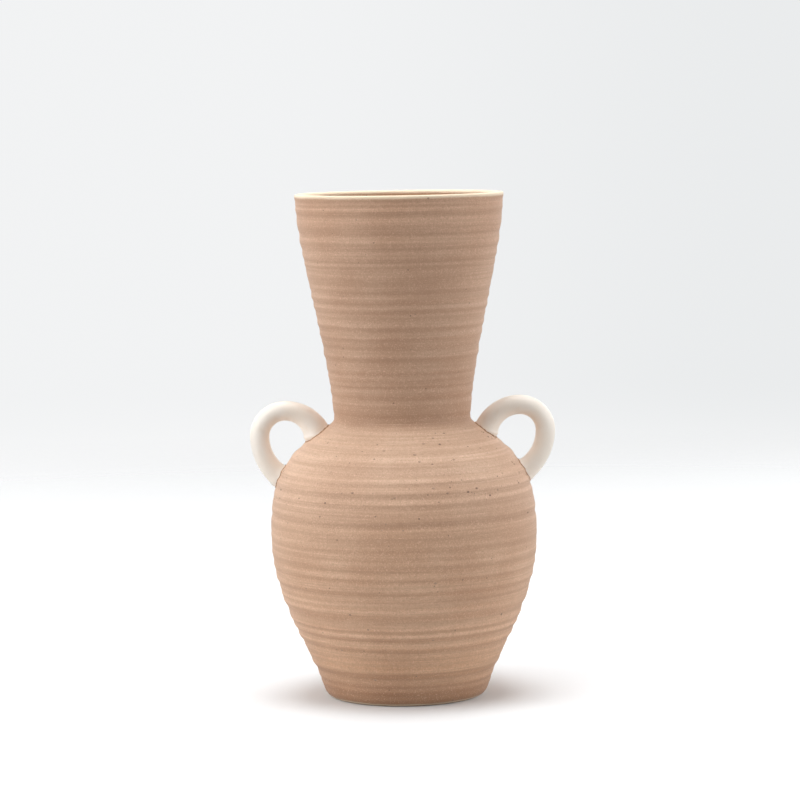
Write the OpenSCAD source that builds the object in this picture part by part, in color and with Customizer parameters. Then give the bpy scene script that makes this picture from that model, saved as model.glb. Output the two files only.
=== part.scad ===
// Two-handled stoneware vase with throwing rings.
// The round belly and the flared neck are thrown apart and luted together with slip at the shoulder.
// Two rolled coils are bent into loop handles and luted to the shoulder, and the inside is glazed.
// Lengths are in millimetres. The vase stands on the plane z = 0 and is round about the Z axis.

/* [Belly] */
// Diameter of the belly at its widest place
belly_d = 137.4; // [124:0.2:150]
// Height of that widest place above the table
widest_z = 84; // [76:1:92]
// Height of the flat seat at the top of the shoulder
shoulder_h = 141.8; // [132:0.2:156]
// Thickness of the belly's wall
belly_wall = 5; // [4:0.1:7]
// Thickness of the floor
floor_t = 6; // [4:0.5:9]
// Radius that rounds the inside between floor and wall
floor_bend = 8; // [5:0.5:12]

/* [Foot] */
// Diameter of the foot
foot_d = 84.2; // [76:0.2:94]
// Width of the ring that touches the table
foot_ring_w = 7; // [5:0.5:10]
// Depth of the hollow inside that ring
foot_hollow = 3; // [1.5:0.1:5]
// Radius that rounds the foot's outer edge
foot_edge = 3; // [1.5:0.1:4]

/* [Neck] */
// Height of the neck from the shoulder's seat to the top of the lip
neck_h = 118.2; // [100:0.2:135]
// Outer diameter of the neck at its narrow base
waist_d = 70.4; // [64:0.2:78]
// Outer diameter of the mouth below the lip
mouth_d = 106.4; // [96:0.2:120]
// Thickness of the neck's wall
neck_wall = 4.6; // [3.6:0.1:6]
// Height of the thickened lip
lip_h = 4; // [3.2:0.1:6]
// How far the lip stands out from the neck
lip_bead = 0.5; // [0.2:0.1:1.2]

/* [Throwing rings] */
// Depth of the hollow between two rings that are far apart
ring_depth = 0.55; // [0:0.05:0.9]
// Distance between rings from which the hollow has its full depth
ring_pitch = 6; // [4:0.5:9]

/* [Handles] */
// Diameter of the rolled coil
coil_d = 10.1; // [8.5:0.1:11.5]
// How much thinner the coil is round the outside of the loop, where bending has drawn it out
bend_thin = 0.1; // [0.05:0.05:0.3]
// Diameter of the coil where it is pressed onto the shoulder
root_d = 13.2; // [12:0.1:14]
// Length over which a root narrows to the coil
root_flare = 6.5; // [5:0.1:8]
// Radius of the loop between its top and its outermost place, along the middle of the coil
loop_r = 13.2; // [12:0.1:15]
// How far the middle of the coil stands out past the widest place of the belly
loop_reach = 5.2; // [3:0.1:9]
// How far the middle of the coil rises above the shoulder's seat
loop_rise = 8; // [6:0.1:10]
// Distance from the shoulder's seat down to the middle of the upper root
upper_root_drop = 4.8; // [4.3:0.1:7]
// Distance from the shoulder's seat down to the middle of the lower root
lower_root_drop = 25.8; // [24:0.1:30]
// How much lower the left handle was set than the right one
left_drop = 1.4; // [0:0.1:2]

/* [Joints and glaze] */
// Thickness of the slip that lutes the pieces together
slip_t = 0.6; // [0.4:0.05:1]
// How far the slip shows round a handle's root
slip_rim = 0.7; // [0.3:0.1:1.2]
// Width of the ledge between the neck's base and the shoulder
crease_w = 0.8; // [0.4:0.1:1.5]
// Number of rings scored into each face of the neck's joint
score_count = 3; // [1:1:4]
// Depth of a scored ring
score_depth = 0.4; // [0.2:0.05:0.8]
// Width of a scored ring
score_w = 0.8; // [0.4:0.1:1]
// Thickness of the glaze inside the vase
glaze_t = 0.5; // [0.3:0.05:0.8]
// Distance from the top of the lip down to the edge of the glaze
glaze_edge = 4.5; // [3.5:0.1:8]

/* [Hidden] */
$fn = 64;

// Colours of the bodies, the handles, the slip and the glaze
clay = [0.80, 0.63, 0.50];
white_clay = [0.93, 0.90, 0.86];
wet_clay = [0.70, 0.54, 0.42];
glaze = [0.66, 0.44, 0.28];

// Radii and heights that follow from the sizes above
belly_r = belly_d / 2;
foot_r = foot_d / 2;
waist_r = waist_d / 2;
mouth_r = mouth_d / 2;
coil_r = coil_d / 2;
root_r = root_d / 2;
seat_r = waist_r + crease_w;
throat_r = waist_r - neck_wall;
neck_z = shoulder_h + slip_t;
vase_h = shoulder_h + neck_h;
lip_r = (neck_wall + lip_bead) / 2;
floor_z = foot_hollow + floor_t;

// Steps in one curve, in one bend and in the round top of the lip
curve_steps = 24;
bend_steps = 5;
lip_steps = 8;

// The outlines as cubic curves. Each row is a share of the way out and a share of the way up.
// The lower belly goes from the foot to the widest place.
belly_low_shares = [[0, 0], [0.02, 0.2], [1, 0.535], [1, 1]];
// The upper belly goes from the widest place in to the seat, whose share of the way out is 0.
belly_high_shares = [[1, 0], [1, 0.45], [0.885, 0.683], [0, 1]];
// The neck goes from its base out to the mouth, and its curve ends just under the lip.
neck_shares = [[0, 0], [0, 0.244], [1.07, 0.814], [1, 0.971]];

// Heights of the throwing rings as shares of the height of the belly and of the neck
belly_ring_shares = [0.051, 0.088, 0.134, 0.183, 0.23, 0.268, 0.311, 0.345, 0.381, 0.409, 0.438,
                     0.49, 0.539, 0.589, 0.632, 0.665, 0.702, 0.73, 0.759, 0.793, 0.825, 0.867,
                     0.906, 0.941, 0.963];
neck_ring_shares = [0.04, 0.077, 0.12, 0.167, 0.222, 0.289, 0.348, 0.391, 0.45, 0.476, 0.513,
                    0.555, 0.599, 0.632, 0.7, 0.738, 0.78, 0.831, 0.877, 0.903, 0.949];
// Places of the outline's points in the hollow between two rings
hollow_shares = [0, 0.12, 0.5, 0.88];
// How sharp the rings are against the hollows between them
ring_power = 3;
// Length along the outline over which its direction is taken
probe = widest_z / 100;
// Outline of a root's flare. Each row is a share of its length and a share of the way from the
// coil's radius to the root's. The last rows dive into the coil.
flare_shares = [[0, 1], [0.2, 0.62], [0.45, 0.27], [0.7, 0], [1, -1]];
// How far a coil runs on inside the belly before it is cut, and how far its thicker ends run on
// over its thinner middle
overrun = coil_d;
lap = coil_r / 10;

// Points from shares of the way between two corners
function between(shares, from, to) =
    [for (s = shares) [from[0] + s[0] * (to[0] - from[0]), from[1] + s[1] * (to[1] - from[1])]];

// A cubic curve through its first and last control point
function curve(c) =
    [for (i = [0 : curve_steps])
        let (t = i / curve_steps, u = 1 - t)
        u * u * u * c[0] + 3 * t * u * u * c[1] + 3 * t * t * u * c[2] + t * t * t * c[3]];

// A bend from a to c that turns at corner b
function bend(a, b, c) =
    [for (i = [0 : bend_steps])
        let (t = i / bend_steps, u = 1 - t)
        u * u * a + 2 * t * u * b + t * t * c];

// The same points in the other order, and those between two heights
function backwards(path) = [for (i = [1 : len(path)]) path[len(path) - i]];
function part_of(path, low, high) = [for (p = path) if (p[1] > low && p[1] < high) p];

// A path moved sideways: away from the axis where the path climbs and d is positive
function beside(path, d) =
    [for (i = [0 : len(path) - 1])
        let (a = path[max(i - 1, 0)], b = path[min(i + 1, len(path) - 1)], along = (b - a) / norm(b - a))
        path[i] + d * [along[1], -along[0]]];

// Radius and outward direction of a climbing path at height z
function radius_at(path, z) = lookup(z, [for (p = path) [p[1], p[0]]]);
function outward_at(path, z) =
    let (out = radius_at(path, z - probe) - radius_at(path, z + probe), up = 2 * probe)
    [up, out] / norm([up, out]);

// Share of the full depth at share u of the way from one ring to the next
function hollow(u) = 1 - pow(abs(2 * u - 1), ring_power);

// A smooth path with throwing rings at the given heights, moved outwards by off
function ringed(path, rings, off = 0) =
    [for (i = [0 : len(rings) - 2])
        let (gap = rings[i + 1] - rings[i], depth = ring_depth * min(1, gap / ring_pitch))
        for (u = hollow_shares)
            let (z = rings[i] + u * gap, out = depth * (1 / 2 - hollow(u)) + off)
            [radius_at(path, z), z] + out * outward_at(path, z)];

// Scored rings in a level face at height z, from radius a to radius b, cut towards dir
function scores(z, a, b, dir) =
    [for (i = [0 : score_count - 1])
        let (r = a + (i + 1 / 2) / score_count * (b - a), w = sign(b - a) * score_w / 2)
        each [[r - w, z], [r, z + dir * score_depth], [r + w, z]]];

// Smooth outlines of the belly and the neck, and their rings
belly_path = concat(
    curve(between(belly_low_shares, [foot_r, 0], [belly_r, widest_z])),
    [for (p = curve(between(belly_high_shares, [seat_r, widest_z], [belly_r, shoulder_h])))
        if (p[1] > widest_z) p]);
neck_path = curve(between(neck_shares, [waist_r, neck_z], [mouth_r, vase_h]));
belly_rings = [for (s = belly_ring_shares) s * shoulder_h];
neck_rings = [for (s = neck_ring_shares) shoulder_h + s * neck_h];

// Outside of the belly from the foot's edge to the seat, moved outwards by off
function belly_outside(off = 0) = concat(
    [[radius_at(belly_path, foot_edge) + off, foot_edge]],
    ringed(belly_path, belly_rings, off),
    [[seat_r + off, shoulder_h]]);

// Inside of the belly from the middle of the floor to the throat
belly_wall_in = [for (p = beside(belly_path, -belly_wall))
    if (p[0] > throat_r + belly_wall / 2 && p[1] > floor_z + floor_bend) p];
belly_in_low = belly_wall_in[0];
belly_in_high = belly_wall_in[len(belly_wall_in) - 1];
floor_corner = [belly_in_low[0] - floor_bend / 4, floor_z];
belly_inside = concat(
    [[0, floor_z]],
    bend(floor_corner - [floor_bend, 0], floor_corner, belly_in_low),
    [for (i = [1 : len(belly_wall_in) - 2]) belly_wall_in[i]],
    bend(belly_in_high, [throat_r, (belly_in_high[1] + shoulder_h) / 2], [throat_r, shoulder_h]));

// Inside of the neck from its underside to the round top of the lip
neck_inside = concat(
    [for (p = beside(neck_path, -neck_wall)) if (p[1] < vase_h - lip_h) p],
    [[mouth_r - neck_wall, vase_h - lip_r]]);

// A handle set lower by drop: where its roots meet the belly and the middle of its round part,
// each as radius and height
function upper_root(drop) = root_at(shoulder_h - upper_root_drop - drop);
function lower_root(drop) = root_at(shoulder_h - lower_root_drop - drop);
function root_at(z) = [radius_at(belly_path, z), z];
function loop_centre(drop) = [belly_r + loop_reach - loop_r, shoulder_h + loop_rise - loop_r - drop];

// Two more arcs carry the coil on from the top and from the outermost place of the round part
// to the roots. Each is given as its radius and the angle that it turns through.
function upper_arc(drop) =
    let (way = loop_centre(drop) + [0, loop_r] - upper_root(drop), r = way * way / (2 * way[1]))
    [r, atan2(way[0], r - way[1])];
function lower_arc(drop) =
    let (way = loop_centre(drop) + [loop_r, 0] - lower_root(drop), r = way * way / (2 * way[0]))
    [r, atan2(way[1], r - way[0])];

// Angle by which an arc of radius r must turn on to run through a length
function turn_of(length, r) = length / r * 180 / PI;

// The stretch of the belly that the handles touch, moved outwards by off
function handle_seat(off = 0) =
    part_of(belly_outside(off), shoulder_h - lower_root_drop - 2 * root_d, vase_h);

// A round arc of coil in the X-Z plane, about a centre given as radius and height
module coil_arc(centre, r, from, to, d) {
    translate([centre[0], 0, centre[1]])
        rotate([90, 0, 0])
            rotate([0, 0, from])
                rotate_extrude(angle = to - from)
                    translate([r, 0])
                        circle(d = d);
}

// The flare of a root, square to the belly under it and made wider by extra
module flare(root, extra = 0) {
    out = outward_at(belly_path, root[1]);
    outline = [for (s = flare_shares)
        [coil_r + s[1] * (root_r - coil_r) + extra, s[0] * root_flare]];
    translate([root[0], 0, root[1]])
        rotate([0, atan2(out[0], out[1]), 0])
            rotate_extrude()
                polygon(concat([[0, -overrun], [root_r + extra, -overrun]], outline, [[0, root_flare]]));
}

// One loop handle on the +X side, cut to sit on its slip
module handle(drop) {
    centre = loop_centre(drop);
    upper = upper_arc(drop);
    lower = lower_arc(drop);
    difference() {
        union() {
            coil_arc(centre, loop_r, 0, 90, coil_d - bend_thin);
            coil_arc(centre + [0, loop_r - upper[0]], upper[0], 90 - turn_of(lap, upper[0]),
                     90 + upper[1] + turn_of(overrun, upper[0]), coil_d);
            coil_arc(centre + [loop_r - lower[0], 0], lower[0],
                     -lower[1] - turn_of(overrun, lower[0]), turn_of(lap, lower[0]), coil_d);
            flare(upper_root(drop));
            flare(lower_root(drop));
        }
        rotate_extrude()
            polygon(concat([[0, handle_seat(slip_t)[0][1]]], handle_seat(slip_t), [[0, shoulder_h]]));
    }
}

// The slip under a root: the stretch between belly and handle that lies inside the given flare
module root_slip() {
    intersection() {
        children();
        rotate_extrude()
            polygon(concat(handle_seat(), backwards(handle_seat(slip_t))));
    }
}

// The belly: foot ring, floor, wall and the scored seat for the neck
module belly() {
    foot_in = foot_r - foot_ring_w;
    color(clay)
        rotate_extrude($fn = 128)
            polygon(concat(
                [[0, foot_hollow], [foot_in - foot_hollow, foot_hollow], [foot_in, 0]],
                bend([foot_r - foot_edge, 0], [foot_r, 0], [radius_at(belly_path, foot_edge), foot_edge]),
                [for (i = [1 : len(belly_outside()) - 1]) belly_outside()[i]],
                scores(shoulder_h, waist_r, throat_r, -1),
                backwards(belly_inside)));
}

// The neck: scored underside, flared wall and rounded lip
module neck() {
    lip_middle = [mouth_r + lip_bead - lip_r, vase_h - lip_r];
    color(clay)
        rotate_extrude($fn = 128)
            polygon(concat(
                [[throat_r, neck_z]],
                scores(neck_z, throat_r, waist_r, 1),
                [[waist_r, neck_z], [waist_r, neck_z + crease_w]],
                ringed(neck_path, neck_rings),
                [[mouth_r, vase_h - lip_h]],
                [for (i = [0 : lip_steps])
                    let (a = 180 * i / lip_steps)
                    lip_middle + lip_r * [cos(a), sin(a)]],
                [for (i = [2 : len(neck_inside) - 1]) neck_inside[len(neck_inside) - i]]));
}

// The slip between neck and shoulder. It fills the scored rings and the crease outside.
module neck_slip() {
    crease_top = [waist_r, neck_z + crease_w];
    color(wet_clay)
        rotate_extrude($fn = 128)
            polygon(concat(
                [[throat_r, shoulder_h]],
                scores(shoulder_h, throat_r, waist_r, -1),
                bend([seat_r, shoulder_h], [waist_r + crease_w / 4, neck_z], crease_top),
                [[waist_r, neck_z]],
                scores(neck_z, waist_r, throat_r, 1),
                [[throat_r, neck_z]]));
}

// The glaze on the floor, the belly's inside, the throat and the neck's inside
module glaze_lining() {
    edge_z = vase_h - glaze_edge;
    face = concat(
        belly_inside,
        part_of(neck_inside, shoulder_h, edge_z),
        [[radius_at(neck_inside, edge_z), edge_z]]);
    color(glaze)
        rotate_extrude($fn = 128)
            polygon(concat(face, backwards(beside(face, -glaze_t))));
}

module handle_right() {
    color(white_clay) handle(0);
}

module handle_left() {
    color(white_clay) mirror([1, 0, 0]) handle(left_drop);
}

module handle_right_upper_slip() {
    color(wet_clay) root_slip() flare(upper_root(0), slip_rim);
}

module handle_right_lower_slip() {
    color(wet_clay) root_slip() flare(lower_root(0), slip_rim);
}

module handle_left_upper_slip() {
    color(wet_clay) mirror([1, 0, 0]) root_slip() flare(upper_root(left_drop), slip_rim);
}

module handle_left_lower_slip() {
    color(wet_clay) mirror([1, 0, 0]) root_slip() flare(lower_root(left_drop), slip_rim);
}

belly();
neck();
neck_slip();
handle_left();
handle_right();
handle_left_upper_slip();
handle_left_lower_slip();
handle_right_upper_slip();
handle_right_lower_slip();
glaze_lining();
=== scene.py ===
# %% [markdown]
# # A two-handled stoneware vase
# The vase is thrown in two parts on a potter's wheel: a round belly and a flared neck, joined at a
# crease on the shoulder. Two white coils are bent into loops and luted on as handles.
# This lesson dresses a finished engineering model of it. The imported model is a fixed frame: it
# says how large each piece is and where it stands, and every mesh made here sits in that place.

# %% Load the frame
import math

import bmesh
import bpy
import numpy as np
from mathutils import Matrix, Vector
from mathutils.bvhtree import BVHTree


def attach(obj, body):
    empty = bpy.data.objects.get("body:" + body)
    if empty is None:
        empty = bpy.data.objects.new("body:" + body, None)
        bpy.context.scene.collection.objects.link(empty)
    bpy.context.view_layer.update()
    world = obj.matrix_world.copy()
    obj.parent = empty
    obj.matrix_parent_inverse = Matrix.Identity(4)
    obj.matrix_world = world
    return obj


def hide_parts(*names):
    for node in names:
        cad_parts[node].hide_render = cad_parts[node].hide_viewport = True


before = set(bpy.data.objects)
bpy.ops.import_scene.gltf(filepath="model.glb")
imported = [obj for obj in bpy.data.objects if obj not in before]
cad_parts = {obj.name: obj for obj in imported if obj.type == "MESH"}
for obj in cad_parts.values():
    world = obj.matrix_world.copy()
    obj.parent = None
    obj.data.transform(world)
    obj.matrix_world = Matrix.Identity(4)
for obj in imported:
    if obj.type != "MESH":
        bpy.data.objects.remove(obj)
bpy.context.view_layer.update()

MM = 0.001


def add_object(name, data):
    """A new object in the scene."""
    thing = bpy.data.objects.new(name, data)
    bpy.context.collection.objects.link(thing)
    return thing


# %% [markdown]
# ## The camera
# The photograph was taken from a little above the mouth with a long lens, about 1.6 m away. A long
# lens keeps the sides of the pot nearly parallel. The camera looks slightly down, and it was held
# with a small roll, so the pot seems to lean to the left. The picture is 800 by 800, and the small
# shift puts the lens axis where it is in the photograph. All these numbers were worked out from
# where mouth, foot and handles lie in the picture. Moving a camera by eye never quite settles.

# %% Set up the camera
camera_place = Vector((0, -1639.3, 305.4)) * MM
look_down = math.radians(5.31)
roll = math.radians(-0.904)
picture_px = 800
lens_px = 3186.2
off_centre_px = 2
sensor_mm = 36

lens = bpy.data.cameras.new("camera")
lens.sensor_width = sensor_mm
lens.lens = lens_px / picture_px * sensor_mm
lens.shift_x = -off_centre_px / picture_px
camera = add_object("camera", lens)
tilt = Matrix.Rotation(math.pi / 2 - look_down, 4, "X")
camera.matrix_world = Matrix.Translation(camera_place) @ tilt @ Matrix.Rotation(roll, 4, "Z")
bpy.context.scene.camera = camera
print("lens in mm:", round(lens.lens, 1))

# %% [markdown]
# ## The outlines
# A thrown pot is round, so one outline on the right of its axis says almost everything about it.
# Three cubic curves make that outline: the lower belly, the upper belly and the neck. They have
# the same control points as the frame's solids, so both agree to a small part of a millimetre.
# Each control point is given as its share of the way from one corner of a box to the other. An
# outline could be traced point by point, but a curve with few control points has no dents.

# %% Sizes and outlines
belly_r = 68.7 * MM
widest_z = 84 * MM
shoulder_h = 141.8 * MM
foot_r = 42.1 * MM
seat_r = 36 * MM
waist_r = 35.2 * MM
mouth_r = 53.2 * MM
neck_z = 142.4 * MM
vase_h = 260 * MM

low_shares = [(0, 0), (0.02, 0.2), (1, 0.535), (1, 1)]
high_shares = [(1, 0), (1, 0.45), (0.885, 0.683), (0, 1)]
neck_shares = [(0, 0), (0, 0.244), (1.07, 0.814), (1, 0.971)]


def cubic(start, first, second, end, steps=200):
    """Points along a cubic curve, as rows of radius and height."""
    t = np.linspace(0, 1, steps)[:, None]
    u = 1 - t
    start, first, second, end = (np.array(p) for p in (start, first, second, end))
    return u**3 * start + 3 * t * u * u * first + 3 * t * t * u * second + t**3 * end


def cubic_between(low, high, shares):
    """A cubic curve whose control points are shares of the way from one corner to another."""
    low, high = np.array(low), np.array(high)
    return cubic(*(low + np.array(share) * (high - low) for share in shares))


def radius_at(line, height):
    """Radius of an outline at a height."""
    return np.interp(height, line[:, 1], line[:, 0])


belly_low = cubic_between((foot_r, 0), (belly_r, widest_z), low_shares)
belly_high = cubic_between((seat_r, widest_z), (belly_r, shoulder_h), high_shares)
belly_line = np.vstack([belly_low, belly_high[1:]])
neck_line = cubic_between((waist_r, neck_z), (mouth_r, vase_h), neck_shares)
print("belly outline:", len(belly_line), "points, neck outline:", len(neck_line), "points")

# %% [markdown]
# ## The throwing rings
# The fingers leave rings as the pot turns: low ridges with shallow hollows between them, a few
# tenths of a millimetre high and 2 to 6 mm apart. Each pair below is a height and how far the wall
# stands out there, both in millimetres. A small program worked out most pairs from the light and
# dark bands in the photograph, and some were corrected. A smooth line through the pairs gives
# the relief at every height. A regular pattern would be simpler, but uneven rings are what makes
# a pot look thrown.

# %% Heights and depths of the rings
belly_rings = [
    (3, 0), (5.4, -0.1), (8, 0.15), (9.8, 0), (11.3, 0.13), (14.8, -0.28), (18.4, 0.32),
    (20.6, 0), (22, 0.04), (23.4, -0.02), (25.2, -0.1), (26.8, -0.09), (29.2, -0.42),
    (32.5, 0.2), (35.5, -0.33), (38, 0.26), (40, -0.07), (42.2, 0.25), (46.8, -0.44),
    (50.8, 0.25), (52.8, 0.04), (54.2, 0.14), (56.5, -0.25), (58, -0.17), (59.8, -0.31),
    (62.5, 0.27), (66.8, -0.11), (69.2, 0.2), (71.8, -0.14), (75.8, 0.16), (78.2, -0.07),
    (80, -0.03), (82, -0.15), (84.8, 0.11), (86.5, 0), (89.5, 0.12), (92.5, 0.1), (95.2, -0.38),
    (98.5, 0.1), (100.8, 0.02), (102, 0.05), (104, -0.11), (106.8, 0.14), (109, -0.09),
    (112.2, 0.45), (115, 0.12), (117, 0.39), (120, -0.16), (122.5, 0.02), (125.8, 0.45),
    (129.2, 0.01), (131.2, 0.22), (133.8, -0.1), (135, 0.05), (136.4, -0.06), (138.5, 0.12),
    (140.4, 0)]
neck_rings = [
    (144.4, 0), (146.2, -0.15), (149, 0.14), (153, 0.19), (155.8, -0.1), (158.8, 0.19),
    (161.5, -0.12), (163.2, 0.1), (164.8, -0.02), (166.5, 0.15), (168.5, -0.08), (170.2, 0.14),
    (175, -0.15), (177.8, 0.29), (182, -0.28), (184.5, -0.05), (186, -0.04), (188, 0.26),
    (190.8, -0.18), (193.5, 0.22), (196.2, -0.15), (198, -0.06), (199.8, -0.22), (202.2, 0.25),
    (204.8, -0.16), (207.2, 0.26), (210, -0.19), (212.2, 0.01), (214.2, -0.07), (219.2, 0.11),
    (222.5, -0.09), (224.2, 0.06), (226.2, -0.2), (228.8, 0.15), (231.8, -0.18), (235.5, 0.25),
    (240, -0.32), (242.5, -0.05), (245.2, 0.1), (249.8, -0.26), (252.3, 0.07), (254, -0.08),
    (255.2, 0.08), (256, 0)]
row_gap = 0.35 * MM


def relief_at(rings, heights):
    """The height of the relief, easing in and out of every ridge and hollow."""
    marks = np.array(rings) * MM
    place = np.interp(heights, marks[:, 0], np.arange(len(marks)))
    below = np.floor(place).astype(int).clip(0, len(marks) - 2)
    share = place - below
    ease = share * share * (3 - 2 * share)
    return marks[below, 1] * (1 - ease) + marks[below + 1, 1] * ease


print("rings on the belly:", len(belly_rings), "marks, on the neck:", len(neck_rings), "marks")

# %% [markdown]
# ## The wall of a pot as rows
# A pot has a real wall, so its outline is a closed one: out along the foot, up the outside, over
# the rim and down the inside. `wall_rows` strings such a loop together from stretches. Each
# stretch is cut into even steps, and each row keeps what the lathe needs to know: its place, the
# direction that points out of the clay, how far the rings stand out there, and how strongly the
# fingers worked it. That last number grows from 0 at the table to 1 a few millimetres up, so the
# finest rings stay off the flat of the foot. A Solidify modifier could thicken a single skin
# instead, but this wall changes its thickness at the foot, the seat and the lip.

# %% Lines in the clay
tiny = 1e-12


def even_steps(points, gap):
    """The same line in steps of about one gap."""
    points = np.array(points)
    along = np.r_[0, np.cumsum(np.linalg.norm(np.diff(points, axis=0), axis=1))]
    count = max(2, round(along[-1] / gap) + 1)
    steps = np.linspace(0, along[-1], count)
    return np.stack([np.interp(steps, along, points[:, axis]) for axis in (0, 1)], axis=1)


def out_of(points):
    """For a line that goes round the clay anticlockwise, the direction out of the clay."""
    along = np.gradient(points, axis=0)
    out = np.stack([along[:, 1], -along[:, 0]], axis=1)
    return out / np.linalg.norm(out, axis=1)[:, None].clip(tiny)


def beside(points, distance):
    """The line moved into the clay by a distance."""
    return points - distance * out_of(points)


def rounded(corner, before, after, radius, steps=6):
    """A bend of about that radius in place of a sharp corner."""
    corner, before, after = (np.array(p) for p in (corner, before, after))
    start = corner + radius * (before - corner) / np.linalg.norm(before - corner)
    end = corner + radius * (after - corner) / np.linalg.norm(after - corner)
    t = np.linspace(0, 1, steps)[:, None]
    return (1 - t) ** 2 * start + 2 * t * (1 - t) * corner + t * t * end


print("the belly's outside takes", len(even_steps(belly_line, row_gap)), "rows")

# %% A helper that strings rows together
worked_from_h = 3 * MM
same_place = 1e-7


def wall_rows(stretches):
    """One chain of rows from (points, rings, gap) stretches, with the facts about each row."""
    places = []
    relief = []
    worked = []
    for points, rings, gap in stretches:
        steps = even_steps(points, gap)
        if places and np.linalg.norm(steps[0] - places[-1][-1]) < same_place:
            steps = steps[1:]
        places.append(steps)
        relief.append(relief_at(rings, steps[:, 1]) if rings else np.zeros(len(steps)))
        worked.append((steps[:, 1] / worked_from_h).clip(0, 1) if rings else np.zeros(len(steps)))
    places = np.vstack(places)
    return places, np.concatenate(relief), np.concatenate(worked), out_of(places)


def write_on(mesh, name, values, kind="FLOAT", field="value"):
    """Stores one fact about every point of a mesh."""
    mesh.attributes.new(name, kind, "POINT").data.foreach_set(field, np.ravel(values))


def chain_of_rows(name, rows):
    """A mesh with one vertex for each row, which carries the row's facts as attributes."""
    places, relief, worked, out = rows
    mesh = bpy.data.meshes.new(name)
    mesh.from_pydata([(r, 0, z) for r, z in places], [], [])
    write_on(mesh, "relief", relief)
    write_on(mesh, "worked", worked)
    directions = np.stack([out[:, 0], np.zeros(len(out)), out[:, 1]], axis=1)
    write_on(mesh, "out", directions, "FLOAT_VECTOR", "vector")
    return add_object(name, mesh)


print("a row every", row_gap / MM, "mm on the outside")

# %% [markdown]
# ## Building node trees by script
# Geometry Nodes and materials are both made of nodes and links. A few small helpers keep the trees
# readable. `put` adds a node and fills its inputs with values or with other nodes' outputs, and
# `calc` adds one step of arithmetic. `new_tree` makes a tree with named inputs, and `give_tree`
# puts the tree on a piece and sets those inputs by the identifier of each socket.

# %% Helpers for single nodes
node_w = 220
node_h = 260
nodes_in_a_row = 10


def put(tree, kind, inputs=None, **options):
    """Adds a node to a tree, with its options and inputs."""
    node = tree.nodes.new(kind)
    count = len(tree.nodes) - 1
    node.location = (node_w * (count % nodes_in_a_row), -node_h * (count // nodes_in_a_row))
    for option, value in options.items():
        setattr(node, option, value)
    for socket, value in (inputs or {}).items():
        if isinstance(value, bpy.types.NodeSocket):
            tree.links.new(value, node.inputs[socket])
        else:
            node.inputs[socket].default_value = value
    return node


def calc(tree, operation, *values):
    """One step of arithmetic on numbers or on outputs of other nodes."""
    return put(tree, "ShaderNodeMath", dict(enumerate(values)), operation=operation).outputs[0]


def vector_calc(tree, operation, inputs, result="Vector"):
    """One step of arithmetic on vectors."""
    return put(tree, "ShaderNodeVectorMath", inputs, operation=operation).outputs[result]


def axes(tree, vector):
    """The X, Y and Z of a vector."""
    return put(tree, "ShaderNodeSeparateXYZ", {0: vector}).outputs


def vector_of(tree, **numbers):
    """A vector made from its X, Y and Z."""
    return put(tree, "ShaderNodeCombineXYZ", numbers).outputs[0]


def stored(tree, kind, name):
    """A fact that was stored on the points of the mesh."""
    return put(tree, "GeometryNodeInputNamedAttribute", {"Name": name}, data_type=kind).outputs[0]


print("trees are laid out with", nodes_in_a_row, "nodes in a row")

# %% [markdown]
# A tree works on its piece as a modifier. `end_tree` makes its instances real, because only real
# mesh can be exported, and `keep_as_mesh` then swaps the piece's mesh for what the modifier makes.
# It also counts open edges, because clay is solid and its skin has no holes.

# %% Helpers for whole trees
def new_tree(name, inputs):
    """A Geometry Nodes tree with named inputs, given as name: (kind of socket, value)."""
    tree = bpy.data.node_groups.new(name, "GeometryNodeTree")
    tree.interface.new_socket("Geometry", in_out="INPUT", socket_type="NodeSocketGeometry")
    tree.interface.new_socket("Geometry", in_out="OUTPUT", socket_type="NodeSocketGeometry")
    for label, (kind, value) in inputs.items():
        socket = tree.interface.new_socket(label, in_out="INPUT", socket_type="NodeSocket" + kind)
        if value is not None:
            socket.default_value = value
    return tree, put(tree, "NodeGroupInput").outputs


def end_tree(tree, geometry, material):
    """The same last steps for every tree: real mesh, smooth faces, a material."""
    real = put(tree, "GeometryNodeRealizeInstances", {0: geometry})
    smooth = put(tree, "GeometryNodeSetShadeSmooth", {0: real.outputs[0]})
    finish = put(tree, "GeometryNodeSetMaterial", {"Geometry": smooth.outputs[0], "Material": material})
    put(tree, "NodeGroupOutput", {0: finish.outputs[0]})


def give_tree(piece, tree, values):
    """Puts a tree on a piece and sets its inputs."""
    modifier = piece.modifiers.new(tree.name, "NODES")
    modifier.node_group = tree
    for item in tree.interface.items_tree:
        if item.in_out == "INPUT" and item.name in values:
            modifier[item.identifier] = values[item.name]


def keep_as_mesh(piece):
    """Turns what the trees make into the piece's own mesh, and says how large it is."""
    evaluated = piece.evaluated_get(bpy.context.evaluated_depsgraph_get())
    piece.data = bpy.data.meshes.new_from_object(evaluated)
    piece.data.name = piece.name
    piece.modifiers.clear()
    shape = bmesh.new()
    shape.from_mesh(piece.data)
    volume = shape.calc_volume(signed=True) / MM**3
    open_edges = sum(not edge.is_manifold for edge in shape.edges)
    shape.free()
    triangles = sum(len(face.vertices) - 2 for face in piece.data.polygons)
    print(piece.name, "has", triangles, "triangles,", open_edges, "open edges,", round(volume), "mm3")


print("trees so far:", len(bpy.data.node_groups))

# %% [markdown]
# ## A lathe made of nodes
# The wall of the pot follows one rule, so one tree throws every part of it. The tree starts from
# a flat grid. Its columns are steps of a turn and its rows are the rows of the outline. Each
# point of the grid looks up its row, is turned about the axis, and moves out by the relief. A
# Screw modifier would turn a plain pot, but this tree can also change the radius on the way round.

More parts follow.
